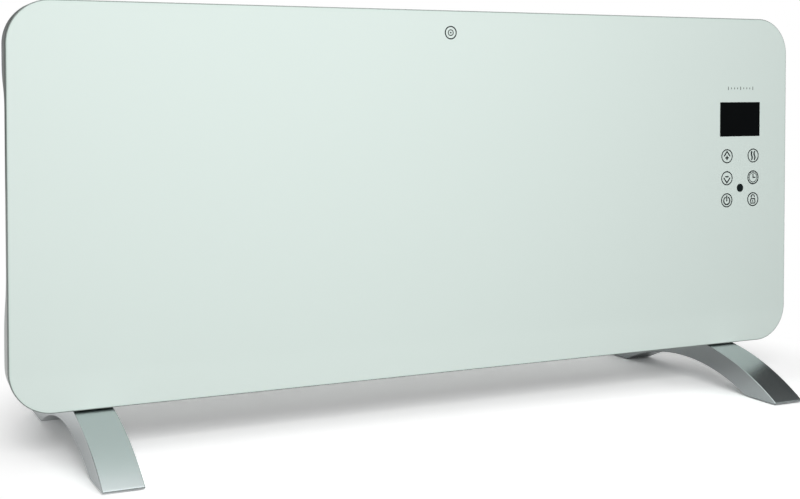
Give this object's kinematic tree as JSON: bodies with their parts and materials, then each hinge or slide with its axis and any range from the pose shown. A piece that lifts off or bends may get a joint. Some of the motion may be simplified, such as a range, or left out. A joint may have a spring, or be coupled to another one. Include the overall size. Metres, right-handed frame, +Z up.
{
  "type": "panel convector heater",
  "caption": "Slim electric convector heater: a wide pale glass front with touch keys and a display, on two arched silver feet.",
  "frame": {"origin": "on the floor, under the middle of the heater's width and depth", "axes": "+X to the heater's right as seen from the front, the glass faces -Y, +Z up"},
  "size_m": [0.8, 0.287, 0.378],
  "materials": {
    "pressed_glass": "toughened glass, enamelled white on its back, polished",
    "frame_grey": "moulded grey plastic, fine texture",
    "casing_paint": "light grey powder coat on sheet steel",
    "bare_steel": "zinc-plated sheet steel",
    "grille_grey": "heat-resistant dark grey plastic",
    "element_aluminium": "extruded aluminium, mill finish",
    "ceramic": "steatite ceramic, unglazed",
    "lead_silicone": "silicone and glass-fibre sleeve",
    "spring_brass": "gold-plated contact spring",
    "circuit_board": "solder-masked board",
    "component_black": "moulded component case",
    "relay_blue": "relay case",
    "transformer_tape": "transformer tape",
    "box_white": "flame-retardant off-white plastic",
    "display_black": "smoked display window",
    "switch_black": "moulded switch, satin black",
    "screw_steel": "zinc-plated screw",
    "foot_silver": "satin silver lacquer on a cast arch",
    "pad_rubber": "moulded rubber"
  },
  "bodies": {
    "heater": {"glass_panel": "pressed_glass", "glass_frame": "frame_grey", "heat_shield": "bare_steel", "rear_casing": "casing_paint", "outlet_grille": "grille_grey", "heating_element": "element_aluminium", "thermal_cutout": "component_black", "display_module": "display_black", "display_board": "circuit_board", "board_carrier": "box_white", "infrared_receiver": "component_black", "board_link": "box_white", "control_box": "box_white", "control_box_cover": "box_white", "power_board": "circuit_board", "power_relay": "relay_blue", "power_transformer": "transformer_tape", "terminal_block": "box_white", "tilt_switch": "component_black", "inlet_bush": "switch_black", "switch_housing": "switch_black", "terminal_pin_left": "bare_steel", "ceramic_bush_left": "ceramic", "element_bracket_left": "bare_steel", "element_lead_left": "lead_silicone", "left_foot": "foot_silver", "left_nut_plate": "bare_steel", "left_front_pad": "pad_rubber", "left_back_pad": "pad_rubber", "left_foot_screw_1": "screw_steel", "left_foot_screw_2": "screw_steel", "touch_spring_1_left": "spring_brass", "touch_spring_2_left": "spring_brass", "touch_spring_3_left": "spring_brass", "terminal_pin_right": "bare_steel", "ceramic_bush_right": "ceramic", "element_bracket_right": "bare_steel", "element_lead_right": "lead_silicone", "right_foot": "foot_silver", "right_nut_plate": "bare_steel", "right_front_pad": "pad_rubber", "right_back_pad": "pad_rubber", "right_foot_screw_1": "screw_steel", "right_foot_screw_2": "screw_steel", "touch_spring_1_right": "spring_brass", "touch_spring_2_right": "spring_brass", "touch_spring_3_right": "spring_brass", "casing_screw_1": "screw_steel", "casing_screw_2": "screw_steel", "casing_screw_3": "screw_steel", "casing_screw_4": "screw_steel", "casing_screw_5": "screw_steel", "casing_screw_6": "screw_steel", "casing_screw_7": "screw_steel", "casing_screw_8": "screw_steel"},
    "power_rocker": {"rocker_button": "switch_black"}
  },
  "joints": [
    {"name": "power_rocker_hinge", "type": "hinge", "parent": "heater", "child": "power_rocker", "pos_m": [0.336, 0.044, 0.128], "axis": [1, 0, 0], "range_deg": [0, 20]}
  ]
}
